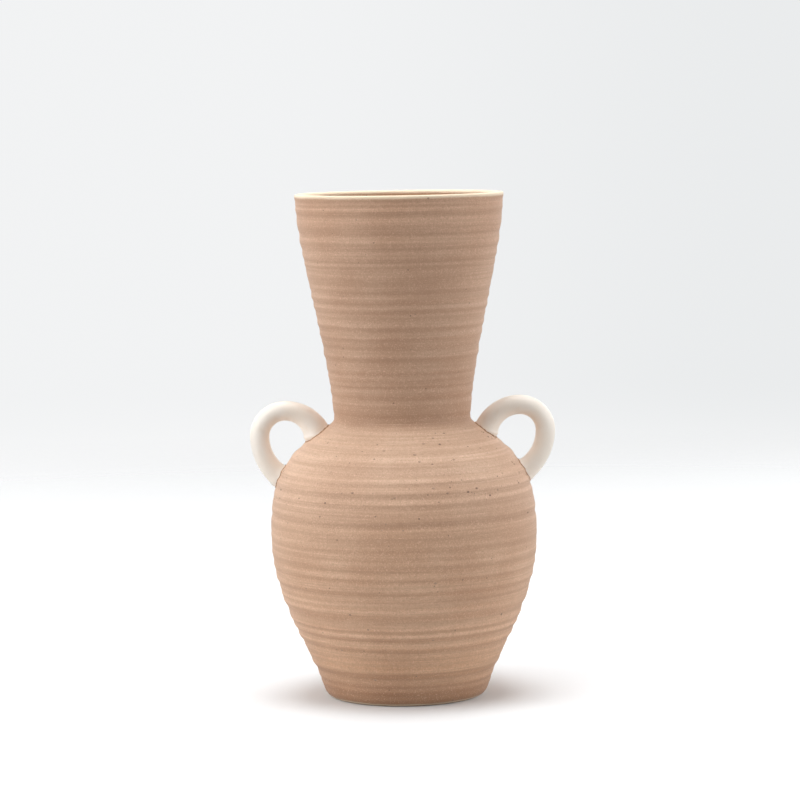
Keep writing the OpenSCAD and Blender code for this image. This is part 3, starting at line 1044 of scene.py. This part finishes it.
def coil_line(drop):
    """Points from inside the wall at the upper root, round the loop, to the lower root."""
    centre = np.array((belly_r + loop_reach - loop_r, shoulder_h + loop_rise - loop_r - drop))
    upper_z = shoulder_h - upper_drop - drop / 2
    lower_z = shoulder_h - lower_drop - drop
    way = centre + (0, loop_r) - (radius_at(belly_line, upper_z), upper_z)
    upper_r = way @ way / (2 * way[1])
    upper_turn = math.atan2(way[0], upper_r - way[1]) + run_on / upper_r
    way = centre + (loop_r, 0) - (radius_at(belly_line, lower_z), lower_z)
    lower_r = way @ way / (2 * way[0])
    lower_turn = math.atan2(way[1], lower_r - way[0]) + run_on / lower_r
    arcs = ((centre + (0, loop_r - upper_r), upper_r, math.pi / 2 + upper_turn, math.pi / 2),
            (centre, loop_r, math.pi / 2, 0),
            (centre + (loop_r - lower_r, 0), lower_r, 0, -lower_turn))
    stretches = []
    for middle, radius, start, end in arcs:
        angles = np.linspace(start, end, arc_steps)
        stretches.append(middle + radius * np.stack([np.cos(angles), np.sin(angles)], axis=1))
    return even_steps(np.vstack(stretches), line_gap)


print("left handle sits", left_drop / MM, "mm lower than the right one")

# %% [markdown]
# The thickness is read off the photograph along the loop. Distances count from the place where
# the middle line leaves the wall, and the left coil starts fatter than the right one. The line
# runs on into the clay, so the whole side of the coil passes through the skin. A coil's end can't
# stick through the wall, so the end's points that lie deep in the clay are brought back to a
# little under the wall's skin.

# %% Thickness along the coil and the pressed ends
coil_r = 5.02 * MM
upper_swells = {"right": 0.85 * MM, "left": 1.6 * MM}
lower_swell = 0.5 * MM
root_swell_reach = 12 * MM
foot_spread = 0.9 * MM
foot_spread_reach = 2.2 * MM
skin_depth = 0.8 * MM


def is_skin(polygon):
    """True for a face of the belly's outside."""
    x, y, z = polygon.center
    return math.hypot(x, y) > radius_at(belly_line, z) - belly_wall / 3


wall_shape = BVHTree.FromPolygons(
    [vertex.co for vertex in belly.data.vertices],
    [polygon.vertices for polygon in belly.data.polygons if is_skin(polygon)])


def depth_in_wall(point):
    """How deep a point lies under the skin of the belly, and the skin's place and direction."""
    skin, out, _, _ = wall_shape.find_nearest(point)
    return (skin - point).dot(out), skin, out


def coil_radii(line, upper_swell):
    """The radius of the coil at each point of its middle line."""
    along = np.arange(len(line)) * np.linalg.norm(line[1] - line[0])
    from_upper = np.abs(along - run_on)
    from_lower = np.abs(along[-1] - run_on - along)
    swell = upper_swell * np.exp(-((from_upper / root_swell_reach) ** 2))
    swell += lower_swell * np.exp(-((from_lower / root_swell_reach) ** 2))
    spread = np.exp(-(from_upper / foot_spread_reach)) + np.exp(-(from_lower / foot_spread_reach))
    return coil_r + swell + foot_spread * spread


def coil(name, drop, side, upper_swell, seed, finish):
    """One handle as a mesh on the side +1 (right) or -1 (left)."""
    line = coil_line(drop)
    points = [(side * x, 0, z) for x, z in line]
    edges = [(k, k + 1) for k in range(len(points) - 1)]
    return sweep_coil(name, points, edges, coil_radii(line, upper_swell), {"Seed": seed, "Finish": finish})


def press_onto_wall(piece):
    """Brings the ends of a coil back to just under the skin of the belly."""
    for vertex in piece.data.vertices:
        depth, skin, out = depth_in_wall(vertex.co)
        if depth > skin_depth:
            vertex.co = skin - out * skin_depth
    piece.data.update()


print("coil:", round(2 * coil_r / MM, 1), "mm thick")

# %% [markdown]
# The white clay is smooth and slightly glossy where it was rolled and wetted. It isn't pure white:
# it clouds towards cream, with warmer smears where brown fingers held it.

# %% White stoneware and the two coils
white_clay = (0.97, 0.885, 0.78)
warm_white = (0.90, 0.78, 0.65)
cool_white = (0.98, 0.915, 0.83)
white_clouds_in_a_metre = 60.0
smears_in_a_metre = 140.0
smear_share = 0.5
white_sand_in_a_metre = 1600.0
warm_sand_share = 0.35

white_stoneware, tree, shader, place = new_finish("white_stoneware")
cloud = noise_of(tree, place, white_clouds_in_a_metre, 3.0)
colour = blend_colours(tree, ramp(tree, cloud, 0.35, 0.7), white_clay, cool_white)
smear = noise_of(tree, place, smears_in_a_metre, 3.0, 0.6)
colour = blend_colours(tree, ramp(tree, smear, 0.55, 0.8, to_high=smear_share), colour, warm_white)
sand = noise_of(tree, place, white_sand_in_a_metre, 2.0)
colour = blend_colours(tree, ramp(tree, sand, 0.40, 0.25, to_high=warm_sand_share), colour, warm_white)
tree.links.new(colour, shader.inputs["Base Color"])
tree.links.new(ramp(tree, cloud, 0.2, 0.8, 0.42, 0.58), shader.inputs["Roughness"])
shader.inputs["Specular IOR Level"].default_value = 0.9
shader.inputs["Sheen Weight"].default_value = 0.3
shader.inputs["Sheen Roughness"].default_value = 0.5
grain_bump(tree, shader, [(smear, 0.3, 0.25 * MM), (sand, 0.4, 0.08 * MM)])

handle_right = coil("handle_right_coil", 0.0, 1, upper_swells["right"], 2.0, white_stoneware)
handle_left = coil("handle_left_coil", left_drop, -1, upper_swells["left"], 7.0, white_stoneware)

# %% [markdown]
# ## The seams
# Where a white coil meets the tan wall, a thin dark line runs round the root, a little bolder at
# the upper roots. It is partly brown slip squeezed out of the joint and partly painted shade where
# the coil meets the wall. The line runs where the side of the coil passes through the skin of the
# belly. A ring placed by eye would sink into one ridge and float over the next hollow. So the line
# is found by walking along the lines of the coil's mesh and marking where each one goes under the
# skin. The coil tree then sweeps a thin bead along those marks.

# %% Find where a coil meets the wall
seam_sizes = {"upper": 0.5 * MM, "lower": 0.4 * MM}
seam_unevenness = 0.25
seam_wave = 2.3
steps_round = 40


def meeting_lines(piece):
    """The two closed lines where a coil's side passes through the skin of the belly."""
    places = [vertex.co.copy() for vertex in piece.data.vertices]
    rings = len(places) // steps_round
    depths = [depth_in_wall(place)[0] for place in places]
    lines = ([], [])
    for side in range(steps_round):
        column = [ring * steps_round + side for ring in range(rings)]
        under_skin = [depths[k] > 0 for k in column]
        crossings = [k for k in range(rings - 1) if under_skin[k] != under_skin[k + 1]]
        for line, k in zip(lines, (crossings[0], crossings[-1])):
            a, b = column[k], column[k + 1]
            share = depths[a] / (depths[a] - depths[b])
            line.append(places[a].lerp(places[b], share))
    return lines


def seam(name, line, seam_r, seed, finish):
    """A thin bead along a closed line."""
    count = len(line)
    points = [tuple(point) for point in line]
    edges = [(k, (k + 1) % count) for k in range(count)]
    radii = [seam_r * (1 + seam_unevenness * math.sin(seam_wave * k + seed)) for k in range(count)]
    return sweep_coil(name, points, edges, radii, {
        "Steps round": 8, "Lump size": 2 * MM, "Lump depth": 0.08 * MM, "Seed": seed, "Finish": finish})


print("seams are", seam_sizes["lower"] / MM, "to", seam_sizes["upper"] / MM, "mm in radius")

# %% [markdown]
# Slip is the same clay stirred with water, here a browner one. It dries dull and grainy, and its
# dark brown also stands for painted shade in the joint. Once the seams are found, the ends of the
# coils are pressed in.

# %% Brown slip with painted shade, and the four seams
# Painted shade: the seams' dark brown also stands in for the shade where coil and wall meet.
dark_brown = (0.38, 0.22, 0.13)
light_brown = (0.56, 0.36, 0.24)
slip_clouds_in_a_metre = 700.0
slip_grains_in_a_metre = 2500.0

slip_with_painted_joint_shade, tree, shader, place = new_finish("luting_slip")
mixed = noise_of(tree, place, slip_clouds_in_a_metre, 3.0)
colour = blend_colours(tree, ramp(tree, mixed, 0.4, 0.65), dark_brown, light_brown)
tree.links.new(colour, shader.inputs["Base Color"])
tree.links.new(ramp(tree, mixed, 0.2, 0.8, 0.6, 0.85), shader.inputs["Roughness"])
grains = noise_of(tree, place, slip_grains_in_a_metre)
grain_bump(tree, shader, [(grains, 0.5, 0.1 * MM)])

seams = {}
for side, piece, seed in (("left", handle_left, 3.0), ("right", handle_right, 6.0)):
    for root, line in zip(("upper", "lower"), meeting_lines(piece)):
        name = f"handle_{side}_{root}_seam"
        seams[side, root] = seam(name, line, seam_sizes[root], seed + len(seams), slip_with_painted_joint_shade)
    press_onto_wall(piece)
print("seams:", len(seams))

# %% [markdown]
# ## Iron specks
# Stoneware clay holds grains of iron that melt into dark brown specks half a millimetre to a good
# millimetre across. The fine ones are in the material. The larger ones are small flat drops on
# the skin, strewn by a tree of nodes, because a drop keeps its shape from every side. Big ones
# are rare. They are densest on the shoulder, so the tree thins them out by height.

# %% The speck tree
strewer, given = new_tree("strewer", {
    "Wall": ("Object", None),
    "Specks per square metre": ("Float", 11500.0),
    "Densest height": ("Float", 118 * MM),
    "Spread of heights": ("Float", 25 * MM),
    "Share elsewhere": ("Float", 0.2),
    "Smallest": ("Float", 0.28 * MM),
    "Largest": ("Float", 0.65 * MM),
    "Seed": ("Int", 1),
    "Finish": ("Material", None),
})
outward_least = 5 * MM
big_ones_rare = 1.7
shortest = 0.8
longest = 1.4
flatness = 0.22

wall = put(strewer, "GeometryNodeObjectInfo", {"Object": given["Wall"]}).outputs["Geometry"]
spot = axes(strewer, put(strewer, "GeometryNodeInputPosition").outputs[0])
away = calc(strewer, "DIVIDE", calc(strewer, "SUBTRACT", spot["Z"], given["Densest height"]),
            given["Spread of heights"])
dense = calc(strewer, "EXPONENT", calc(strewer, "MULTIPLY", calc(strewer, "MULTIPLY", away, away), -1.0))
dense = calc(strewer, "MAXIMUM", dense, given["Share elsewhere"])
facing = axes(strewer, put(strewer, "GeometryNodeInputNormal").outputs[0])
radial = calc(strewer, "ADD", calc(strewer, "MULTIPLY", spot["X"], facing["X"]),
              calc(strewer, "MULTIPLY", spot["Y"], facing["Y"]))
outside = calc(strewer, "GREATER_THAN", radial, outward_least)
density = calc(strewer, "MULTIPLY", calc(strewer, "MULTIPLY", dense, outside),
               given["Specks per square metre"])
strewn = put(strewer, "GeometryNodeDistributePointsOnFaces", {
    "Mesh": wall, "Density": density, "Seed": given["Seed"]})
drop = put(strewer, "GeometryNodeMeshIcoSphere", {"Radius": 1.0, "Subdivisions": 2})
uneven = put(strewer, "FunctionNodeRandomValue", {"Seed": given["Seed"]}, data_type="FLOAT")
size = calc(strewer, "MULTIPLY_ADD", calc(strewer, "POWER", uneven.outputs[1], big_ones_rare),
            calc(strewer, "SUBTRACT", given["Largest"], given["Smallest"]), given["Smallest"])
stretch = put(strewer, "FunctionNodeRandomValue", {
    2: shortest, 3: longest, "Seed": given["Seed"]}, data_type="FLOAT")
flat_drop = vector_of(
    strewer, X=calc(strewer, "MULTIPLY", size, stretch.outputs[1]), Y=size,
    Z=calc(strewer, "MULTIPLY", size, flatness))
drops = put(strewer, "GeometryNodeInstanceOnPoints", {
    "Points": strewn.outputs["Points"], "Instance": drop.outputs[0],
    "Rotation": strewn.outputs["Rotation"], "Scale": flat_drop})
end_tree(strewer, drops.outputs[0], given["Finish"])
print("the speck tree has", len(strewer.nodes), "nodes")

# %% [markdown]
# Melted iron isn't black. It runs from dark brown to rust. The belly is strewn thickly and the
# neck thinly, with smaller specks. One larger speck sits on the lip, so its place is given.

# %% Iron, and the strewn walls
rust = (0.48, 0.31, 0.215)
grain_brown = (0.26, 0.155, 0.10)
rusts_in_a_metre = 260.0

iron_finish, tree, shader, place = new_finish("iron_speck")
mixed = noise_of(tree, place, rusts_in_a_metre, 1.0)
colour = blend_colours(tree, ramp(tree, mixed, 0.34, 0.54), grain_brown, rust)
tree.links.new(colour, shader.inputs["Base Color"])
tree.links.new(ramp(tree, mixed, 0.2, 0.8, 0.5, 0.8), shader.inputs["Roughness"])


def strew(name, wall, values):
    """Specks on one wall, as a piece of their own."""
    piece = add_object(name, bpy.data.meshes.new(name))
    give_tree(piece, strewer, {"Wall": wall, "Finish": iron_finish, **values})
    keep_as_mesh(piece)
    return piece


belly_specks = strew("belly_iron_specks", belly, {"Seed": 4})
neck_specks = strew("neck_iron_specks", neck, {
    "Seed": 9, "Densest height": 190 * MM, "Spread of heights": 42 * MM, "Share elsewhere": 0.05,
    "Specks per square metre": 1300.0, "Largest": 0.36 * MM})

# %% The speck on the lip
lip_speck_turn = math.radians(-74.1)
lip_speck_size = (0.15 * MM, 0.6 * MM, 0.5 * MM)
lip_speck_sunk = 0.05 * MM
lip_speck_drop = 1.6 * MM

lip_speck_way = Vector((math.cos(lip_speck_turn), math.sin(lip_speck_turn), 0))
lip_speck_place = lip_speck_way * (lip_out[0] - lip_speck_sunk) + Vector((0, 0, vase_h - lip_speck_drop))
lip_speck_mesh = bpy.data.meshes.new("lip_iron_speck")
shape = bmesh.new()
bmesh.ops.create_icosphere(shape, subdivisions=2, radius=1.0)
bmesh.ops.scale(shape, vec=lip_speck_size, verts=shape.verts)
bmesh.ops.rotate(shape, matrix=Matrix.Rotation(lip_speck_turn, 3, "Z"), verts=shape.verts)
bmesh.ops.translate(shape, vec=lip_speck_place, verts=shape.verts)
shape.to_mesh(lip_speck_mesh)
shape.free()
lip_speck_mesh.materials.append(iron_finish)
lip_speck = add_object("lip_iron_speck", lip_speck_mesh)
print("one speck on the lip, with", len(lip_speck_mesh.polygons), "faces")

# %% [markdown]
# ## The floor and the light
# The photograph was taken on a white sweep with soft light from above and white walls at the
# sides. A round pale floor that fades out at its rim gives the same picture from every side. Its
# rim melts into the even grey-white of the world, so there is no horizon line. The floor looks
# nearly white, but it throws less light back up at the pot than it shows, as a sweep in a larger
# and darker room does.

# %% The floor
floor_r = 1.6
floor_white = (0.85, 0.863, 0.875)
floor_bounce = (0.55, 0.55, 0.55)
fade_start_r = 0.45
fade_end_r = 1.35
front_fade_start = 0.27
front_fade_end = 0.42

floor_mesh = bpy.data.meshes.new("floor")
shape = bmesh.new()
bmesh.ops.create_circle(shape, cap_ends=True, segments=96, radius=floor_r)
shape.to_mesh(floor_mesh)
shape.free()
floor = add_object("floor", floor_mesh)

floor_finish, tree, shader, place = new_finish("white_sweep")
seen_directly = put(tree, "ShaderNodeLightPath").outputs["Is Camera Ray"]
tree.links.new(blend_colours(tree, seen_directly, floor_bounce, floor_white), shader.inputs["Base Color"])
shader.inputs["Roughness"].default_value = 0.9
shader.inputs["Specular IOR Level"].default_value = 0.1
from_pot = vector_calc(tree, "LENGTH", {0: place}, "Value")
to_front = calc(tree, "MULTIPLY", axes(tree, place)["Y"], -1.0)
fade = calc(tree, "MAXIMUM", ramp(tree, from_pot, fade_start_r, fade_end_r),
            ramp(tree, to_front, front_fade_start, front_fade_end))
clear = put(tree, "ShaderNodeBsdfTransparent")
faded = put(tree, "ShaderNodeMixShader", {0: fade, 1: shader.outputs[0], 2: clear.outputs[0]})
tree.links.new(faded.outputs[0], tree.nodes["Material Output"].inputs[0])
floor_mesh.materials.append(floor_finish)
print("floor:", 2 * floor_r, "m wide")

# %% [markdown]
# The world is what the camera sees behind the pot: two white walls of slightly different tone, and
# the bright sweep below them. As light it gives the pot only a little, so that the soft boxes
# shape the pot and not an even glow from all sides.

# %% The world
left_wall_colour = (0.885, 0.893, 0.900)
right_wall_colour = (0.825, 0.838, 0.845)
sweep_colour = (1.01, 1.01, 1.01)
world_glow = (0.97, 0.985, 1.0, 1.0)
world_strength = 0.066
walls_meet = (-0.05, 0.12)
sweep_starts = -0.085
sweep_full = -0.145

world = bpy.data.worlds.new("studio")
world.use_nodes = True
tree = world.node_tree
tree.nodes.clear()
way = axes(tree, put(tree, "ShaderNodeTexCoord").outputs["Generated"])
to_right = ramp(tree, way["X"], *walls_meet)
wall_colour = blend_colours(tree, to_right, left_wall_colour, right_wall_colour)
sweep_share = ramp(tree, way["Z"], sweep_starts, sweep_full)
seen = put(tree, "ShaderNodeBackground", {
    "Color": blend_colours(tree, sweep_share, wall_colour, sweep_colour)})
glow = put(tree, "ShaderNodeBackground", {"Color": world_glow, "Strength": world_strength})
by_camera = put(tree, "ShaderNodeLightPath").outputs["Is Camera Ray"]
both = put(tree, "ShaderNodeMixShader", {0: by_camera, 1: glow.outputs[0], 2: seen.outputs[0]})
put(tree, "ShaderNodeOutputWorld", {0: both.outputs[0]})
bpy.context.scene.world = world
bpy.context.scene.view_settings.view_transform = "Standard"
print("the world glows at", world_strength)

# %% [markdown]
# The main light hangs above. A weaker one in front of it lights the slope of the shoulder. The
# left wall is brighter than the right one, as in the photograph, so the belly's right side is a
# shade darker. The boxes behind the pot give its edges their thin bright rims.

# %% The soft boxes
aim = (0, 0, 0.14)
small_box = (0.8, 0.8)
wide_box = (1.2, 0.8)
wall_box = (1.0, 0.9)
soft_boxes = (
    ("top_light", (0, 0, 1.35), small_box, 11.6),
    ("top_front_light", (0.0, -0.4, 1.25), small_box, 3.0),
    ("top_back_light", (0, 0.8, 1.2), wide_box, 3.1),
    ("high_left_light", (-0.9, -0.3, 1.15), small_box, 3.3),
    ("left_front_wall", (-1.2, -0.5, 0.5), wall_box, 10.4),
    ("right_front_wall", (1.2, -0.5, 0.5), wall_box, 7.9),
    ("right_wall", (1.25, 0.45, 0.45), wall_box, 1.8),
    ("left_back_wall", (-0.8, 1.0, 0.5), wall_box, 4.7),
    ("right_back_wall", (0.8, 1.0, 0.5), wall_box, 5.5),
)
for name, place, size, power in soft_boxes:
    light = bpy.data.lights.new(name, "AREA")
    light.shape = "RECTANGLE"
    light.size, light.size_y = size
    light.energy = power
    box = add_object(name, light)
    box.location = place
    box.rotation_euler = (Vector(aim) - Vector(place)).to_track_quat("-Z", "Y").to_euler()
    box.visible_camera = False
print("soft boxes:", len(soft_boxes))

# %% [markdown]
# ## Tie the pieces to the frame
# Every piece rides on the body it moves with, and the solids of the frame that it stands for are
# hidden. Each row also lists one of the record's finishes, which nothing here reads. The vase has
# one body, so every piece rides on it.

# %% Ride and replace
dressed = (
    (belly, "speckled_stoneware", ("belly",)),
    (neck, "speckled_stoneware", ("neck",)),
    (cove, "luting_slip", ("neck_slip",)),
    (lining, "liner_glaze", ("glaze_lining",)),
    (handle_left, "white_stoneware", ("handle_left",)),
    (handle_right, "white_stoneware", ("handle_right",)),
    (belly_specks, "speckled_stoneware", ()),
    (neck_specks, "speckled_stoneware", ()),
    (lip_speck, "speckled_stoneware", ()),
    *((piece, "luting_slip", (f"handle_{side}_{root}_slip",)) for (side, root), piece in seams.items()),
)
for piece, finish_slot, solids in dressed:
    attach(piece, "root")
    if solids:
        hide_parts(*solids)
print("pieces:", len(dressed))
